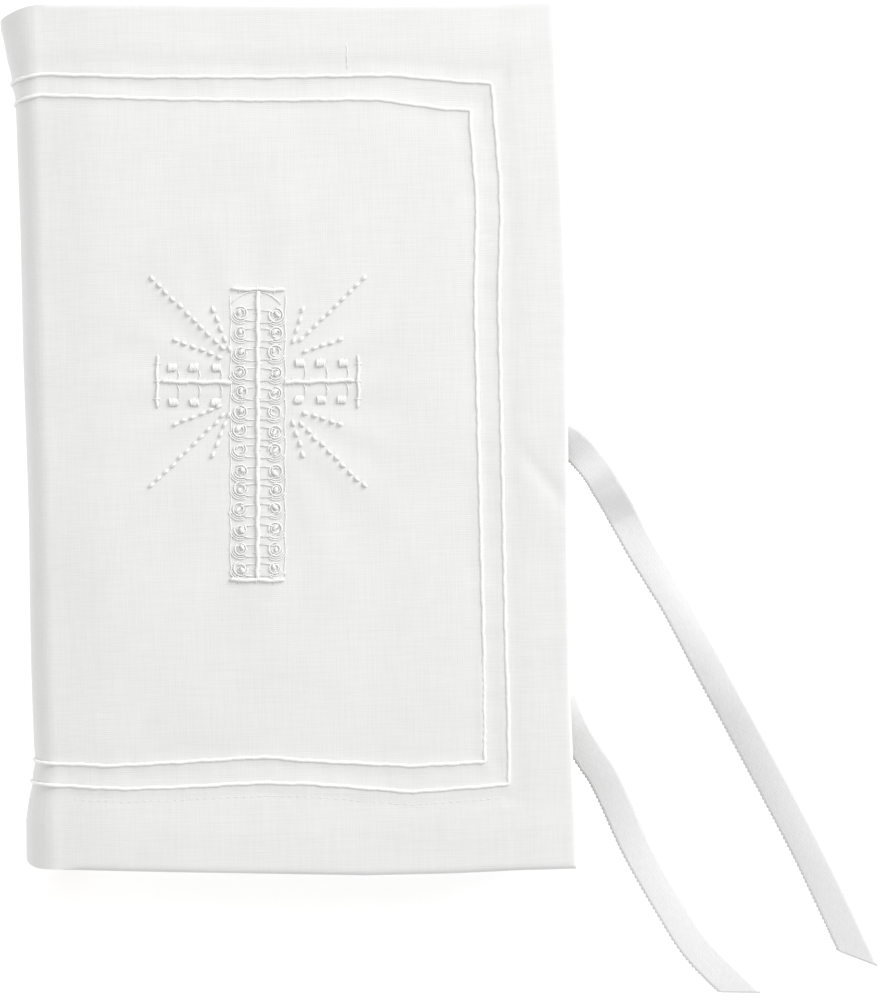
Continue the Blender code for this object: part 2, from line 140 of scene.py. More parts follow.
class Nodes:
    """A short way to write a node material: each call adds a node and links its inputs."""

    def __init__(self, name, colour, roughness, sheen=0.0):
        self.material = bpy.data.materials.new(name)
        self.material.use_nodes = True
        self.tree = self.material.node_tree
        self.shader = self.tree.nodes["Principled BSDF"]
        self.shader.inputs["Base Color"].default_value = (*colour, 1)
        self.shader.inputs["Roughness"].default_value = roughness
        self.shader.inputs["Sheen Weight"].default_value = sheen
        self.shader.inputs["Sheen Roughness"].default_value = 0.5
        self.place = self.add("ShaderNodeTexCoord").outputs["Object"]

    def add(self, kind, inputs=None, **settings):
        node = self.tree.nodes.new(kind)
        for key, value in settings.items():
            setattr(node, key, value)
        for key, value in (inputs or {}).items():
            if isinstance(value, bpy.types.NodeSocket):
                self.tree.links.new(value, node.inputs[key])
            else:
                node.inputs[key].default_value = value
        return node

    def scaled(self, scale):
        mapping = self.add("ShaderNodeMapping", {"Vector": self.place, "Scale": scale})
        return mapping.outputs["Vector"]

    def noise(self, scale, detail=2.0, vector=None):
        inputs = {"Vector": vector or self.place, "Scale": scale, "Detail": detail}
        return self.add("ShaderNodeTexNoise", inputs).outputs["Fac"]

    def threads(self, direction, pitch, distortion=0.6):
        inputs = {
            "Vector": self.place,
            "Scale": 1 / (pitch * WAVE_SCALE),
            "Distortion": distortion,
            "Detail": 1.0,
            "Detail Scale": 2.0,
        }
        wave = self.add("ShaderNodeTexWave", inputs, wave_type="BANDS", bands_direction=direction)
        return wave.outputs["Fac"]

    def math(self, operation, a, b):
        return self.add("ShaderNodeMath", {0: a, 1: b}, operation=operation).outputs[0]

    def ramp(self, factor, low, high, dark, light):
        """A colour that runs from dark to light as factor goes from low to high."""
        node = self.add("ShaderNodeValToRGB", {"Fac": factor})
        first, last = node.color_ramp.elements
        first.position = low
        first.color = (*dark, 1)
        last.position = high
        last.color = (*light, 1)
        return node.outputs["Color"]

    def paint(self, colour):
        self.tree.links.new(colour, self.shader.inputs["Base Color"])

    def bump(self, height, distance, strength=1.0):
        node = self.add("ShaderNodeBump", {"Height": height, "Distance": distance, "Strength": strength})
        self.tree.links.new(node.outputs["Normal"], self.shader.inputs["Normal"])


def cloth_material(name, dark, light):
    """Plain-weave linen: crossing threads, slubs that run along them, and a faint mottling."""
    cloth = Nodes(name, light, 0.95)
    weft = cloth.threads("X", WEFT_PITCH)
    warp = cloth.threads("Y", WARP_PITCH)
    upright = cloth.threads("Z", WEFT_PITCH)
    weave = cloth.math("MULTIPLY", cloth.math("MAXIMUM", weft, upright), warp)
    slub_x = cloth.noise(1.0, 3.0, cloth.scaled((120, 2400, 2400)))
    slub_y = cloth.noise(1.0, 3.0, cloth.scaled((2400, 120, 2400)))
    slubs = cloth.math("ADD", slub_x, slub_y)
    height = cloth.math("ADD", cloth.math("MULTIPLY", weave, 0.45), cloth.math("MULTIPLY", slubs, 0.55))
    cloth.bump(height, 0.06 * MM, 0.5)
    mottle = cloth.math(
        "ADD", cloth.math("MULTIPLY", slubs, 0.5), cloth.math("MULTIPLY", cloth.noise(60, 4), 0.4)
    )
    cloth.paint(cloth.ramp(mottle, 0.35, 1.1, dark, light))
    return cloth.material


def thread_material(name, dark, light, pitch=0.25 * MM):
    """Twisted cotton: fine slanting ridges."""
    thread = Nodes(name, light, 0.6, sheen=0.2)
    turned = thread.add(
        "ShaderNodeMapping", {"Vector": thread.place, "Rotation": (0.6, 0.6, 0.785)}
    ).outputs["Vector"]
    wave = thread.add(
        "ShaderNodeTexWave", {"Vector": turned, "Scale": 1 / (pitch * WAVE_SCALE), "Distortion": 0.4}
    ).outputs["Fac"]
    thread.bump(wave, 0.06 * MM, 0.7)
    thread.paint(thread.ramp(wave, 0.0, 0.8, dark, light))
    return thread.material


def satin_material():
    """Satin ribbon: fine slanting twill floats, glossy across them."""
    satin = Nodes("white_satin", (0.86, 0.86, 0.87), 0.38, sheen=0.1)
    satin.shader.inputs["Specular IOR Level"].default_value = 0.6
    turned = satin.add(
        "ShaderNodeMapping", {"Vector": satin.place, "Rotation": (0, 0, 0.35)}
    ).outputs["Vector"]
    floats = satin.add(
        "ShaderNodeTexWave", {"Vector": turned, "Scale": 1 / (FLOAT_PITCH * WAVE_SCALE), "Distortion": 0.8}
    ).outputs["Fac"]
    fine = satin.noise(1.0, 2.0, satin.scaled((2600, 900, 2600)))
    height = satin.math("ADD", satin.math("MULTIPLY", floats, 0.6), satin.math("MULTIPLY", fine, 0.5))
    satin.bump(height, 0.06 * MM, 0.8)
    satin.paint(satin.ramp(height, 0.1, 0.9, (0.66, 0.66, 0.67), (0.84, 0.84, 0.84)))
    return satin.material


def paper_material(name, dark, light, lined):
    """Paper with fibre mottling; lined adds the fine layers of many leaf edges."""
    paper = Nodes(name, light, 0.88)
    fibre = paper.noise(900, 4)
    height = fibre
    if lined:
        height = paper.math("ADD", fibre, paper.math("MULTIPLY", paper.threads("Z", LEAF_PITCH, 0.2), 0.8))
    paper.bump(height, 0.04 * MM, 0.5)
    paper.paint(paper.ramp(height, 0.2, 1.1 if not lined else 1.0, dark, light))
    return paper.material


def card_material(name, dark, light):
    card = Nodes(name, light, 0.9)
    grain = card.noise(1.0, 5, card.scaled((500, 1500, 1500)))
    card.bump(grain, 0.08 * MM, 0.6)
    card.paint(card.ramp(grain, 0.3, 0.7, dark, light))
    return card.material


def mull_material():
    """Open gauze: wide threads with dark holes."""
    mull = Nodes("starched_mull", (0.8, 0.77, 0.68), 0.95)
    net = mull.math("MAXIMUM", mull.threads("Z", NET_PITCH, 0.1), mull.threads("Y", NET_PITCH, 0.1))
    mull.bump(net, 0.1 * MM, 0.8)
    mull.paint(mull.ramp(net, 0.3, 0.75, (0.45, 0.4, 0.3), (0.85, 0.82, 0.74)))
    return mull.material


def floor_material():
    floor = Nodes("pale_floor", (0.93, 0.93, 0.93), 0.95)
    floor.shader.inputs["Emission Color"].default_value = (1, 1, 1, 1)
    floor.shader.inputs["Emission Strength"].default_value = FLOOR_GLOW
    return floor.material


CLOTH = cloth_material("white_linen", (0.71, 0.71, 0.705), (0.8, 0.8, 0.795))
POCKET = cloth_material("lining_linen", (0.64, 0.64, 0.62), (0.8, 0.8, 0.78))
THREAD = thread_material("white_thread", (0.84, 0.84, 0.83), (0.95, 0.95, 0.94))
BAND_THREAD = thread_material("band_thread", (0.75, 0.68, 0.5), (0.93, 0.9, 0.84), 0.9 * MM)
SATIN = satin_material()
PAGES = paper_material("page_paper", (0.7, 0.67, 0.58), (0.93, 0.9, 0.83), lined=True)
ENDPAPER = paper_material("endpaper", (0.8, 0.78, 0.7), (0.9, 0.88, 0.82), lined=False)
BOARD = card_material("grey_board", (0.3, 0.27, 0.22), (0.5, 0.46, 0.4))
SPINE_CARD = card_material("spine_card", (0.42, 0.33, 0.22), (0.62, 0.53, 0.4))
MULL = mull_material()


# ---------------------------------------------------------------- mesh helpers


def smooth_step(value, low, high):
    """0 below low, 1 above high, and a smooth rise between."""
    t = np.clip((value - low) / (high - low), 0, 1)
    return t * t * (3 - 2 * t)


def new_object(name, mesh, material):
    mesh.materials.append(material)
    obj = bpy.data.objects.new(name, mesh)
    bpy.context.scene.collection.objects.link(obj)
    return obj


def grid_mesh(name, points, material, flip=False):
    """A smooth sheet through an array of points, rows by columns by 3."""
    rows, columns, _ = points.shape
    mesh = bpy.data.meshes.new(name)
    index = np.arange(rows * columns).reshape(rows, columns)
    faces = np.stack([index[:-1, :-1], index[:-1, 1:], index[1:, 1:], index[1:, :-1]], axis=-1).reshape(-1, 4)
    if flip:
        faces = faces[:, ::-1]
    mesh.from_pydata(points.reshape(-1, 3).tolist(), [], faces.tolist())
    mesh.shade_smooth()
    return new_object(name, mesh, material)


def apply_modifiers(obj):
    graph = bpy.context.evaluated_depsgraph_get()
    mesh = bpy.data.meshes.new_from_object(obj.evaluated_get(graph))
    obj.modifiers.clear()
    obj.data = mesh
    return obj


def thicken(obj, thickness, offset=-1.0):
    solid = obj.modifiers.new("thickness", "SOLIDIFY")
    solid.thickness = thickness
    solid.offset = offset
    return apply_modifiers(obj)


def tubes(name, lines, material, sides=8):
    """One mesh of closed round tubes. Each line is (points, radius) or (points, list of radii)."""
    verts = []
    faces = []
    for points, radius in lines:
        points = [Vector(p) for p in points]
        count = len(points)
        radii = radius if isinstance(radius, list) else [radius] * count
        first = len(verts)
        for i, point in enumerate(points):
            ahead = points[min(i + 1, count - 1)] - points[max(i - 1, 0)]
            across = ahead.cross(Vector((0, 0, 1)))
            if across.length < 1e-9:
                across = Vector((1, 0, 0))
            across.normalize()
            up = across.cross(ahead).normalized()
            # The ends narrow to a blunt tip.
            taper = 0.45 if i in (0, count - 1) else random.uniform(0.88, 1.1)
            for side in range(sides):
                angle = 2 * math.pi * side / sides
                offset = across * math.cos(angle) + up * math.sin(angle)
                verts.append(point + offset * radii[i] * taper)
        for i in range(count - 1):
            for side in range(sides):
                a = first + i * sides + side
                b = first + i * sides + (side + 1) % sides
                faces.append((a, b, b + sides, a + sides))
        faces.append(tuple(first + side for side in reversed(range(sides))))
        faces.append(tuple(first + (count - 1) * sides + side for side in range(sides)))
    mesh = bpy.data.meshes.new(name)
    mesh.from_pydata([tuple(v) for v in verts], [], faces)
    mesh.shade_smooth()
    return new_object(name, mesh, material)


def smooth_route(route, spacing):
    """Points on a Catmull-Rom curve through rows of numbers; the first three are the place in millimetres."""
    knots = np.array(route, float)
    knots = np.vstack([2 * knots[0] - knots[1], knots, 2 * knots[-1] - knots[-2]])
    fine = []
    for a, b, c, d in zip(knots, knots[1:], knots[2:], knots[3:]):
        for t in np.linspace(0, 1, 24, endpoint=False):
            bend = 2 * b + (c - a) * t + (2 * a - 5 * b + 4 * c - d) * t**2 + (3 * b - 3 * c + d - a) * t**3
            fine.append(bend / 2)
    fine.append(knots[-2])
    fine = np.array(fine)
    walked = np.concatenate([[0], np.cumsum(np.linalg.norm(np.diff(fine[:, :3], axis=0), axis=1))])
    steps = np.linspace(0, walked[-1], int(walked[-1] / spacing) + 1)
    even = np.stack([np.interp(steps, walked, fine[:, k]) for k in range(fine.shape[1])], axis=1)
    return even, steps


# ---------------------------------------------------------------- ribbons

RIBBON_WIDTH = 6.0 * MM
SATIN_THICKNESS = 0.22 * MM
# Each point is x, y, z in millimetres, then the strip's tilt in degrees.
FRONT_RIBBON_ROUTE = (
    (50.2, 1.2, 12.9, 0),
    (52.4, 0.0, 12.85, 0),
    (54.7, -1.4, 12.5, 0),
    (57.4, -4.0, 11.0, 0),
    (60.1, -7.3, 8.3, 0),
    (62.4, -11.0, 5.3, 0),
    (64.6, -14.8, 2.8, 0),
    (66.8, -18.8, 1.1, 0),
    (69.2, -23.3, 0.45, 0),
    (72.6, -29.1, 0.35, 0),
    (76.1, -35.1, 0.35, 0),
    (82.2, -47.3, 0.35, 0),
    (88.4, -59.6, 0.35, 0),
    (94.6, -71.8, 0.35, 0),
    (100.7, -84.1, 0.35, 0),
    (105.8, -95.4, 0.35, 0),
    (110.7, -106.6, 0.35, 0),
)
BACK_RIBBON_ROUTE = (
    (51.9, 1.0, 8.1, 90),
    (51.8, -12.5, 8.1, 90),
    (51.7, -26.5, 8.1, 90),
    (51.6, -36.5, 8.0, 82),
    (51.6, -44.5, 7.6, 50),
    (52.4, -51.6, 6.9, 16),
    (54.2, -58.0, 6.1, 0),
    (57.0, -63.3, 5.2, 0),
    (60.0, -68.1, 3.5, 0),
    (62.5, -73.4, 1.9, 0),
    (64.9, -79.2, 0.8, 0),
    (67.6, -85.1, 0.4, 0),
    (73.1, -95.2, 0.35, 0),
    (78.4, -103.8, 0.35, 0),
    (86.8, -112.8, 0.35, 0),
)
RIBBON_COLUMNS = 11
RIBBON_STEP = 0.45
PICOT = 0.13
END_SKEW = -3.1
END_LENGTH = 9
FLOOR_GAP = 0.22
TWIST_SMOOTHING = 17
# Where each strip turns towards the light or away from it: (distance along it, degrees).
FRONT_TWIST = (
    (0, -14), (6, -22), (11, 8), (17, 11), (21, -12), (25, -8),
    (30, 8), (50, 9), (64, 0), (72, -7), (108, -7), (128, 0),
)
BACK_TWIST = ((0, 0), (50, 6), (57, 12), (63, 5), (80, 12), (105, 12), (124, 9))


def ribbon(name, body, route, twist, cup):
    """A satin strip with picot edges, a slanting cut end and a slight cup across its width."""
    line, steps = smooth_route(route, RIBBON_STEP)
    along = np.gradient(line[:, :3], axis=0)
    along /= np.linalg.norm(along, axis=1)[:, None]
    level = np.cross(along, (0, 0, 1))
    level /= np.linalg.norm(level, axis=1)[:, None]
    up = np.cross(level, along)
    places, turns = zip(*twist)
    extra = np.interp(steps, places, turns)
    padded = np.pad(extra, TWIST_SMOOTHING // 2, mode="edge")
    extra = np.convolve(padded, np.ones(TWIST_SMOOTHING) / TWIST_SMOOTHING, mode="valid")
    tilt = np.radians(line[:, 3] + extra)[:, None]
    across = level * np.cos(tilt) + up * np.sin(tilt)
    out = np.cross(across, along)
    half = RIBBON_WIDTH / MM / 2
    lift = np.minimum(1, (steps[-1] - steps) / 25)
    lift = lift * smooth_step(steps, 28, 45)
    wave = 0.35 * (1 + np.sin(steps / 9.0)) * lift
    rows = []
    for column in range(RIBBON_COLUMNS):
        side = 2 * column / (RIBBON_COLUMNS - 1) - 1
        edge = abs(side) > 0.99
        picot = PICOT * np.where(np.arange(len(steps)) % 2, 1, -1) if edge else 0
        reach = side * half + np.sign(side) * picot
        end = END_SKEW * side * smooth_step(steps, steps[-1] - END_LENGTH, steps[-1])
        place = line[:, :3] + across * np.reshape(reach, (-1, 1)) + along * end[:, None]
        bow = cup * (side * side - 0.4) + wave * side * 0.5
        place = place + out * np.reshape(-bow, (-1, 1)) * lift[:, None]
        raised = place[:, 2] + wave * 0.9 + half * np.abs(np.sin(np.radians(extra)))
        place[:, 2] = np.maximum(raised, FLOOR_GAP)
        rows.append(place)
    points = np.stack(rows, axis=1) * MM
    strip = grid_mesh(name + "_satin", points, SATIN)
    thicken(strip, SATIN_THICKNESS, 0.0)
    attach(strip, body)
    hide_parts(name)
    path = line[::6, :3] * MM
    path = np.vstack([path, line[-1:, :3] * MM])


# ---------------------------------------------------------------- slip cover

CLOTH_THICKNESS = 0.55 * MM
EDGE_ROUND = 0.8
SKEW = math.tan(math.radians(1.1))
SKEW_MIDDLE = 29.4
SKEW_X = 0.3
HEM_DEPTH = 4.0
# Where each border line runs, and (place along it, how far it strays) where the hand sewing pulls it.
OUTER = {
    "head": (70.4, ((-47.5, 1.2), (-28, 0.5), (-2, 0.35), (21, 0.6), (36, -0.8), (39, -1.0))),
    "fore": (41.2, ((-68, -0.3), (-53, -0.1), (-42, -0.25), (27, 0.0), (42, 0.8), (50, 0.8), (69, -0.3))),
    "tail": (-68.4, ((-49, 0.4), (-35, -0.3), (-23, 0.0), (-8, 0.75), (2, 0.5), (22, -1.2), (41, 0.2))),
}
INNER = {
    "head": (66.2, ((-47, 1.25), (-23, 0.3), (-2, 0.0), (18, 0.1), (31, -1.8), (36, -2.1))),
    "fore": (36.2, ((-62, 0.1), (-42, 0.4), (27, 0.35), (46, 1.2), (62, 0.3), (64, 0.4))),
    "tail": (-64.0, ((-49, 0.3), (-37, -0.2), (-23, 0.5), (-7, 1.4), (2, 0.6), (22, -0.5), (36, 0.2))),
}
# How far the cloth's outline strays outwards, as (place along the edge, distance).
FORE_STRAY = (
    (-84, -0.6), (-75, -0.5), (-52, -1.0), (-32, -0.7), (0, -0.2), (27, 0.4), (60, -0.2), (84, -1.0),
)
HEAD_STRAY = ((-54, 0.9), (-41, 1.5), (-28, 1.5), (2, 1.1), (21, 0.9), (40, 1.1), (54, 1.6))
TAIL_STRAY = ((-54, 0.3), (-41, 0.8), (-28, 1.1), (12, 2.0), (30, 1.7), (44, 1.1), (54, 0.9))
CORD_SWELL = 0.9
PULL_REACH = 3.2


def skewed(x, y):
    """The slip cover is a little askew: its head and tail aren't quite square to its spine."""
    return x + SKEW_X, y - SKEW * (x - SKEW_MIDDLE)


def skew(points):
    points[..., 0], points[..., 1] = skewed(points[..., 0], points[..., 1].copy())
    return points


def curl(excess):
    """How far out and how far down the cloth has gone, this far past the start of its rounded edge."""
    turn = np.clip(excess / EDGE_ROUND, 0, math.pi / 2)
    out = EDGE_ROUND * np.sin(turn)
    down = EDGE_ROUND * (1 - np.cos(turn)) + np.maximum(0, excess - EDGE_ROUND * math.pi / 2)
    return out, down


def stray(table, along):
    """The distance that a table of (place, distance) gives at this place."""
    places, distances = zip(*table)
    return np.interp(along, places, distances)


def line_at(border, end, along):
    """Where a border line is, at this place along it, with the small unevenness of its stitches."""
    base, table = border[end]
    along = np.asarray(along)
    uneven = 0.05 * np.sin(along * 0.83 + base) + 0.035 * np.sin(along * 2.1 + 2 * base)
    return base + stray(table, along) + uneven


def near_border(x, y, border, reach):
    """How near a point is to a border line, from 0 to 1."""
    fore = line_at(border, "fore", y)
    head = line_at(border, "head", x)
    tail = line_at(border, "tail", x)
    inside = (x < fore + reach) & (y < head + reach) & (y > tail - reach)
    gap = np.minimum(np.minimum(np.abs(x - fore), np.abs(y - head)), np.abs(y - tail))
    return np.where(inside, np.exp(-((gap / reach) ** 2)), 0)


def relief(x, y):
    """Height of the cloth over its flat face, in millimetres, from margins, cords, puckers and creases."""
    cords = near_border(x, y, OUTER, CORD_SWELL) + near_border(x, y, INNER, CORD_SWELL)
    pull = near_border(x, y, OUTER, PULL_REACH) + near_border(x, y, INNER, PULL_REACH)
    margin = smooth_step(x, 42, 48) + smooth_step(np.abs(y), 71, 77)
    soft = 0.10 * np.sin(x / 13 + y / 29) * np.sin(y / 17 - x / 41)
    soft = soft + 0.05 * np.sin(x / 5.1 + 2) * np.sin(y / 6.3)
    away = np.hypot((x - CROSS_X) / 24, (y - 2) / 34)
    pucker = 0.09 * np.exp(-((away - 0.8) / 0.5) ** 2) * np.sin(np.arctan2(y - 8, x - CROSS_X) * 15)
    rucks = 0.045 * pull * np.sin((x + y) / 1.7) * np.sin((x - y) / 2.3)
    crease = 0.32 * np.exp(-(((x - 50) / 5) ** 2)) * np.exp(-(((y + 9 + (x - 50) * 1.2) / 2.5) ** 2))
    rounding = 0.9 * (1 - smooth_step(x, -50, -34)) ** 1.3
    return 0.15 * cords - 0.12 * pull + 0.2 * margin + soft + pucker + rucks - crease - rounding


def flare(y):
    """How far the cloth stands out from the spine's flat depth, in millimetres."""
    wide = 2.8 * np.clip((y - 65) / 17.5, 0, 1) + 2.0 * np.clip((-y - 63) / 12, 0, 1)
    return wide - 0.6 + 0.35 * smooth_step(y, 0, 60) + 0.12 * np.sin(y / 9)


def panel_grid(side, with_spine):
    """The cloth from its fore-edge hem across the cover, and around the spine when with_spine is true."""
    fore = FORE_X / MM - EDGE_ROUND
    head = HEAD_Y / MM - EDGE_ROUND
    joint = SPINE_X / MM
    top = TOP_Z / MM
    hem = EDGE_ROUND * (math.pi / 2 - 1) + HEM_DEPTH
    edge_steps = np.linspace(0, hem, 9)
    across = np.concatenate([fore + edge_steps[:0:-1], np.linspace(fore, joint, 128)])
    arc = np.linspace(0, math.pi, 46)[1:] if with_spine else np.array([])
    inner_y = np.linspace(-head, head, 206)
    ys = np.concatenate([-head - edge_steps[:0:-1], inner_y, head + edge_steps[1:]])
    y_grid, x_grid = np.meshgrid(ys, across, indexing="ij")
    past_x, drop_x = curl(np.maximum(0, x_grid - fore))
    past_y, drop_y = curl(np.maximum(0, np.abs(y_grid) - head))
    to_spine = smooth_step(x_grid, joint + 0.5, joint + 5)
    drop_y = drop_y * to_spine
    x = np.minimum(x_grid, fore) + past_x
    y = np.clip(y_grid, -head, head) + np.sign(y_grid) * past_y
    height = relief(np.minimum(x_grid, fore), np.clip(y_grid, -head, head))
    z = top - np.maximum(drop_x, drop_y)
    z = z + height if side == "front" else z + 0.3 * np.minimum(height, 0) - 0.35
    rim_x = smooth_step(x_grid, 20, FORE_X / MM)
    rim_y = smooth_step(np.abs(y_grid), 60, HEAD_Y / MM)
    edge_stray = np.where(y > 0, stray(HEAD_STRAY, x), -stray(TAIL_STRAY, x))
    x = x + rim_x * stray(FORE_STRAY, y)
    y = y + rim_y * edge_stray
    panel = np.stack([x, y, z], axis=-1)
    if with_spine:
        y_arc, turn = np.meshgrid(ys, arc, indexing="ij")
        out_y = np.clip(y_arc, -head, head) + np.sign(y_arc) * curl(np.maximum(0, np.abs(y_arc) - head))[0]
        tight = np.zeros_like(out_y)
        for border in (OUTER, INNER):
            for end in ("head", "tail"):
                tight += np.exp(-(((out_y - line_at(border, end, joint)) / 1.6) ** 2))
        swell = (flare(out_y) - 0.3 * tight) * np.sin(turn)
        reach = SPINE_DEPTH / MM + swell
        x_arc = joint - reach * np.sin(turn)
        z_arc = top / 2 + 0.3 + (top / 2 - 0.3 + 0.25 * swell) * np.cos(turn)
        start = (z[:, -1] - top)[:, None]
        z_arc = z_arc + start * np.maximum(0, np.cos(turn))
        drawn_in = 2.3 * np.sin(turn) ** 2 * smooth_step(out_y, 76, 84)
        drawn_in -= 1.5 * np.sin(turn) ** 6 * smooth_step(-out_y, 78, 84)
        y_end = out_y + (panel[:, -1, 1] - out_y[:, 0])[:, None] - drawn_in
        panel = np.concatenate([panel, np.stack([x_arc, y_end, z_arc], axis=-1)], axis=1)
    if side == "back":
        panel[..., 2] = top - panel[..., 2]
    return skew(panel) * MM


def cover_cloths():
    front = grid_mesh("slip_cover_front", panel_grid("front", True), CLOTH, flip=True)
    thicken(front, CLOTH_THICKNESS)
    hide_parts("front_cover_cloth", "spine_cloth")
    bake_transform(front)
    back = grid_mesh("slip_cover_back", panel_grid("back", False), CLOTH)
    thicken(back, CLOTH_THICKNESS)
    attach(back, "back_cover")
    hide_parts("back_cover_cloth")


# ---------------------------------------------------------------- corded border

CORD_RADIUS = 0.36 * MM
BACK_CORD_RADIUS = 0.38 * MM
CORNER = 0.9


def border_line(border, z_of):
    """The border's line over one cover, from the head at the spine round to the tail, in millimetres."""
    joint = SPINE_X / MM
    top_x = line_at(border, "fore", border["head"][0])
    low_x = line_at(border, "fore", border["tail"][0])
    top_y = line_at(border, "head", top_x)
    low_y = line_at(border, "tail", low_x)
    line = [(x, line_at(border, "head", x)) for x in np.arange(joint, top_x - CORNER, 0.5)]
    line += [(top_x - CORNER * 0.3, top_y - 0.1), (top_x, top_y - CORNER * 0.4)]
    line += [(line_at(border, "fore", y), y) for y in np.arange(top_y - CORNER, low_y + CORNER, -0.5)]
    line += [(low_x, low_y + CORNER * 0.4), (low_x - CORNER * 0.3, low_y + 0.1)]
    line += [(x, line_at(border, "tail", x)) for x in np.arange(low_x - CORNER, joint, -0.5)]
    points = []
    for x, y in line:
        across, along = skewed(x, y)
        points.append((across * MM, along * MM, z_of(x, y) * MM))
    return points


def spine_line(border, end):
    """The cord's way around the spine, from the front joint to the back joint."""
    joint = SPINE_X / MM
    top = TOP_Z / MM
    y = line_at(border, end, joint)
    points = []
    for turn in np.linspace(0.06, math.pi * 0.93, 30):
        dip = (-1.2 if y > 0 else 0.4) * math.sin(turn)
        reach = SPINE_DEPTH / MM + (float(flare(y + dip)) - 0.3) * math.sin(turn) + CORD_RADIUS / MM * 0.6
        x, across_y = skewed(joint - reach * math.sin(turn), y + dip)
        z = top / 2 + (top / 2 + 0.05) * math.cos(turn) - 0.7 * max(0, math.cos(turn)) ** 8
        points.append((x * MM, across_y * MM, max(z, 0.45) * MM))
    return points


def cords():
    for label, border in (("outer", OUTER), ("inner", INNER)):
        line = border_line(border, lambda x, y: TOP_Z / MM + float(relief(np.array(x), np.array(y))) - 0.03)
        line = spine_line(border, "head")[::-1] + line + spine_line(border, "tail")
        radii = [CORD_RADIUS] * len(line)
        if label == "inner":
            # Near the tail the inner line is worn: separate stitches show instead of a full cord.
            for i, (x, y, z) in enumerate(line):
                if -61.5 * MM < y < -44 * MM and x > 30 * MM:
                    radii[i] = CORD_RADIUS * (0.6 + 0.4 * (i % 3 < 2))
                    line[i] = (x, y, z - 0.13 * MM)
        cord = tubes(f"front_{label}_border", [(line, radii)], THREAD, sides=10)
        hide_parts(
            f"front_{label}_cord", f"spine_head_{label}_cord", f"spine_tail_{label}_cord"
        )
        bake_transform(cord)
        back = border_line(border, lambda x, y: 0.42)
        piece = tubes(f"back_{label}_border", [(back, BACK_CORD_RADIUS)], THREAD, sides=10)
        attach(piece, "back_cover")
        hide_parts(f"back_{label}_cord")


def needle_holes():
    """Short stitches in a row beside the tail's outer cord, and one thick thread near the head."""
    lines = []
    for x in np.arange(-44, 40, 1.5):
        y = line_at(OUTER, "tail", x) - 2.6
        z = TOP_Z / MM + float(relief(np.array(x), np.array(y))) + 0.02
        px, py = skewed(x, y)
        lines.append(([((px + dx) * MM, py * MM, z * MM) for dx in (-0.35, 0, 0.35)], 0.05 * MM))
    slub = []
    for y in np.linspace(72.2, 77.4, 9):
        px, py = skewed(12.6 + 0.08 * math.sin(y * 3), y)
        slub.append((px * MM, py * MM, TOP_Z + (float(relief(np.array(11.0), np.array(y))) + 0.02) * MM))
    lines.append((slub, 0.07 * MM))
    stitches = tubes("tail_needle_row", lines, THREAD, sides=6)
    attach(stitches, "front_cover")


# ---------------------------------------------------------------- embroidery

CROSS_Y = 10.8
# The embroidery is turned a little on the cloth, about its own middle.
TURN = math.tan(math.radians(1.4))
TURN_SHIFT = (0.61, 0.87)
UP = CROSS_HIGH.y / MM - CROSS_Y
DOWN = CROSS_Y - CROSS_LOW.y / MM
ARM = (CROSS_HIGH.x - CROSS_LOW.x) / 2 / MM


def on_cloth(x, y, lift):
    """A point on the front cloth, from the middle of the cross, in metres."""
    px, py = CROSS_X + x, CROSS_Y + y
    z = TOP_Z / MM + float(relief(np.array(px), np.array(py))) + lift
    turned_x = px + TURN * y + TURN_SHIFT[0]
    turned_y = py - TURN * x + TURN_SHIFT[1]
    return (turned_x * MM, turned_y * MM, z * MM)


def couched(start, end, radius, lines):
    """A laid cord, held down by a tight stitch every few millimetres."""
    start, end = Vector(start), Vector(end)
    count = max(6, int((end - start).length / 0.42))
    side = Vector((start.y - end.y, end.x - start.x)).normalized()
    points = []
    for i in range(count + 1):
        along = i / count
        tie = (i % 8) == 4
        sway = 0.1 * math.sin(i * 0.55 + start.x) + random.uniform(-0.03, 0.03)
        place = start.lerp(end, along) + side * sway
        points.append(on_cloth(*place, 0.12 if tie else 0.24))
        if tie:
            cross_over = [on_cloth(*(place + side * step), 0.42 - 0.3 * abs(step)) for step in (-0.7, 0, 0.7)]
            lines.append((cross_over, 0.16 * MM))
    lines.append((points, radius * MM))


def arc(x, y, radius, begin, finish, rise, width, lines):
    points = []
    for i in range(11):
        angle = math.radians(begin + (finish - begin) * i / 10)
        points.append(on_cloth(x + radius * math.cos(angle), y + radius * math.sin(angle), rise))
    lines.append((points, width * MM))


def scroll(x, y, side, lines):
    """One looped motif: a broken ring round a padded knot, with crescents under it and ties to the stem."""
    radius = random.uniform(1.1, 1.4)
    begin = random.uniform(0, 360)
    arc(x, y, radius, begin, begin + random.uniform(250, 340), 0.2, 0.17, lines)
    arc(x, y, radius * 0.62, begin + 120, begin + 400, 0.18, 0.14, lines)
    if random.random() < 0.8:
        dx, dy = random.uniform(-0.35, 0.35), random.uniform(-0.4, 0.4)
        size = random.uniform(0.28, 0.45)
        slant = random.uniform(-0.5, 0.5)
        knot = [on_cloth(x + dx + slant * t, y + dy + 0.5 * t, 0.34) for t in (-1, -0.4, 0.4, 1)]
        lines.append((knot, size * MM))
    for step in (0.45, 0.85):
        arc(x, y, radius + step, -150 + 20 * side, -40 + 20 * side, 0.14, 0.13, lines)
    for rise in (-1.6, 0.9):
        far = (x + side * 0.7, y + rise * 0.3 + random.uniform(-0.5, 0.5))
        middle = ((far[0] + side * 0.5) / 2, y + rise * 0.9)
        tie = [on_cloth(side * 0.4, y + rise, 0.1), on_cloth(*middle, 0.18), on_cloth(*far, 0.14)]
        lines.append((tie, 0.13 * MM))


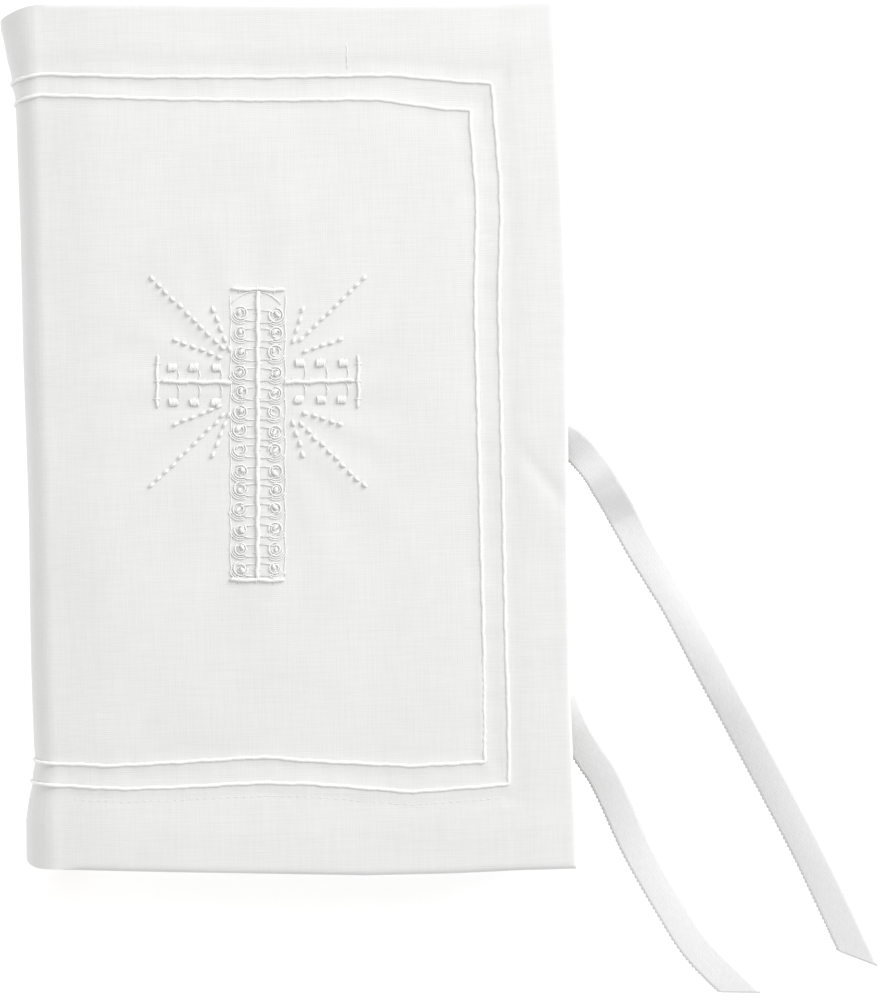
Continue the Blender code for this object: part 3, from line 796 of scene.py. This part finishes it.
def satin_block(x, y, lines):
    """A small square of close slanting stitches."""
    lean_way = random.uniform(-0.25, 0.25)
    for i in range(6):
        dx = (i - 2.5) * 0.27
        half = 0.8 + random.uniform(-0.12, 0.08)
        points = [
            on_cloth(x + dx + t * lean_way, y + t * half, 0.42 - 0.22 * t * t)
            for t in (-1, -0.5, 0, 0.5, 1)
        ]
        lines.append((points, 0.21 * MM))


def cross():
    lines = []
    couched((0, -DOWN + 0.3), (0, UP - 0.4), 0.4, lines)
    couched((-ARM + 0.8, 0.1), (-5.0, -0.1), 0.4, lines)
    couched((5.1, -0.1), (ARM - 0.8, 0.3), 0.4, lines)
    for reach in (-1, 1):
        couched((reach * ARM, -5.1), (reach * ARM, 5.3), 0.27, lines)
    couched((-5.3, UP), (5.4, UP - 0.2), 0.33, lines)
    couched((-5.5, -DOWN), (5.3, -DOWN - 0.1), 0.38, lines)
    arc(-0.4, UP - 6.5, 6.0, 35, 145, 0.12, 0.12, lines)
    for side in (-1, 1):
        count = int((UP + DOWN - 2) / 3.82)
        for i in range(count):
            y = -DOWN + 2.4 + 3.82 * i + random.uniform(-0.25, 0.25)
            scroll(side * 3.45 + random.uniform(-0.2, 0.2), y, side, lines)
        edge = [
            on_cloth(side * (5.35 + 0.12 * math.sin(t * 0.9)), t, 0.1)
            for t in np.arange(-DOWN + 0.6, UP - 0.6, 0.8)
        ]
        lines.append((edge, 0.11 * MM))
    for reach in (8.2, 12.5, 16.6):
        for x, high, low in ((-reach, 2.8, -4.0), (reach, 3.7, -3.5)):
            for y in (high, low):
                satin_block(x + random.uniform(-0.2, 0.2), y, lines)
                tie = [
                    on_cloth(x + 0.9, y * 0.8, 0.12),
                    on_cloth(x + 1.2, y * 0.4, 0.16),
                    on_cloth(x + 0.6, 0, 0.12),
                ]
                lines.append((tie, 0.13 * MM))
    piece = tubes("cross_stitches", lines, THREAD, sides=6)
    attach(piece, "front_cover")
    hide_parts("cross_embroidery")


# Start and end of one quadrant's rays from the middle of the cross, in millimetres.
RAYS = (
    ((8.5, 8.2), (21.7, 21.2)),
    ((7.1, 7.7), (9.3, 15.5)),
    ((9.2, 6.2), (17.3, 8.7)),
)


def rays():
    lines = []
    for start, end in RAYS:
        for across in (-1, 1):
            for along in (-1, 1):
                near = 0.75 if across < 0 else 0.95
                a = Vector((across * start[0], along * start[1])) * near
                b = Vector((across * end[0], along * end[1]))
                count = round((b - a).length / 1.95)
                step = (b - a) / count
                for i in range(count):
                    low = a + step * (i + 0.05)
                    high = a + step * (i + 0.66)
                    shift = Vector((random.uniform(-0.12, 0.12), random.uniform(-0.12, 0.12)))
                    points = [low + shift + (high - low) * t for t in (0, 0.3, 0.7, 1)]
                    rise = (0.02, 0.3, 0.3, 0.02)
                    lines.append(([on_cloth(*p, h) for p, h in zip(points, rise)], 0.36 * MM))
    piece = tubes("ray_stitches", lines, THREAD, sides=7)
    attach(piece, "front_cover")
    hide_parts(*[f"ray_stitch_{number:02d}" for number in range(1, 13)])


# ---------------------------------------------------------------- pages

SHEETS_PER_SECTION = 9


def section(node):
    """A sewn section as a stack of sheets whose edges don't quite meet."""
    low, high = (Vector(corner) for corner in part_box(node))
    low.z -= 0.12 * MM
    high.z += 0.12 * MM
    thick = (high.z - low.z) / SHEETS_PER_SECTION
    block = bmesh.new()
    for i in range(SHEETS_PER_SECTION):
        z = low.z + thick * (i + 0.5)
        inset = Vector((random.uniform(0, 0.35), random.uniform(0, 0.3), 0)) * MM
        made = bmesh.ops.create_cube(block, size=1.0)["verts"]
        size = high - low - 2 * inset
        bmesh.ops.scale(block, vec=(size.x, size.y, thick * 0.93), verts=made)
        centre = (low + high) / 2 - Vector((inset.x, 0, 0))
        bmesh.ops.translate(block, vec=(max(centre.x, low.x + size.x / 2), centre.y, z), verts=made)
    mesh = bpy.data.meshes.new(node + "_sheets")
    block.to_mesh(mesh)
    block.free()
    piece = new_object(node + "_sheets", mesh, PAGES)
    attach(piece, next(body for body, nodes in BODY_NODES.items() if node in nodes))
    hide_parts(node)


BODY_NODES = frame["record"]["behaviour"]["bodies"]


def keep_node(node, material):
    """A CAD piece whose shape is right keeps it and gets a better material."""
    mesh = frame["nodes"][node].data
    mesh.materials.clear()
    mesh.materials.append(material)


def pages():
    for node in frame["nodes"]:
        if "section" in node:
            section(node)
    for node in ("leaf_1", "leaf_2"):
        keep_node(node, PAGES)
    for node in ("front_flyleaf", "rear_flyleaf", "front_pastedown", "back_pastedown"):
        keep_node(node, ENDPAPER)


def bindings():
    for side in ("front", "back"):
        keep_node(side + "_board", BOARD)
        keep_node(side + "_pocket", POCKET)
    keep_node("spine_strip", SPINE_CARD)
    keep_node("mull", MULL)
    for node in ("headband", "tailband"):
        low, high = (Vector(corner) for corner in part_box(node))
        x, y = (low.x + high.x) / 2, (low.y + high.y) / 2
        lines = []
        core = [(x, y, z) for z in np.linspace(low.z, high.z, 12)]
        lines.append((core, 0.6 * MM))
        band = tubes(node + "_wrap", lines, BAND_THREAD, sides=12)
        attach(band, "spine")
        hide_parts(node)


# ---------------------------------------------------------------- everything together

make_camera()
make_world()
make_light("key", (0.75, 0.72, 0.7), 0.8, 13.8)
make_light("fill", (-0.95, -0.1, 0.5), 1.0, 1.6)
make_floor(floor_material())
ribbon("front_ribbon", "front_ribbon", FRONT_RIBBON_ROUTE, FRONT_TWIST, 0.25)
ribbon("back_ribbon", "back_cover", BACK_RIBBON_ROUTE, BACK_TWIST, 0.15)
cover_cloths()
cords()
needle_holes()
cross()
rays()
pages()
bindings()
